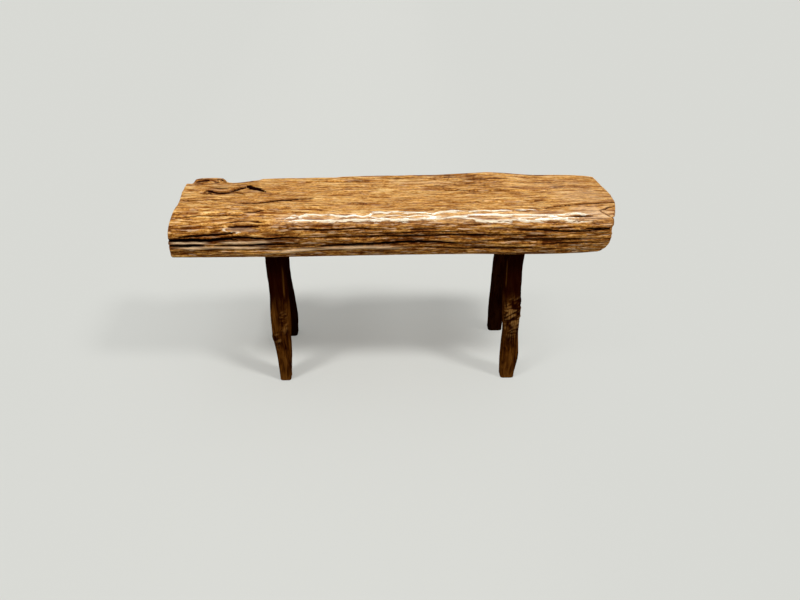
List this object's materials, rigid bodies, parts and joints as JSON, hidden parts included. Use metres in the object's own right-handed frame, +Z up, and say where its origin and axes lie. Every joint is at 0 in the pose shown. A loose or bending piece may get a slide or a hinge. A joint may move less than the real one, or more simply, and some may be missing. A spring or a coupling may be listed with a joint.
{
  "type": "rustic log bench",
  "caption": "Low backless bench: a thick weathered log slab seat with a waney back edge on splayed hewn legs held by blind wedged tenons.",
  "frame": {"origin": "on the floor, below the middle of the bench's bounding box", "axes": "+X along the log to the right as seen from the front, +Y from front to back, +Z up"},
  "size_m": [1.086, 0.3293, 0.453],
  "materials": {
    "seat_wood": "oiled, weathered",
    "leg_wood": "dark oiled",
    "wedge_wood": "bare"
  },
  "bodies": {
    "root": {"seat_log": "seat_wood", "leg_front_left": "leg_wood", "leg_front_right": "leg_wood", "leg_rear_left": "leg_wood", "leg_rear_right": "leg_wood", "wedge_front_left": "wedge_wood", "wedge_front_right": "wedge_wood", "wedge_rear_left": "wedge_wood", "wedge_rear_right": "wedge_wood"}
  },
  "joints": []
}
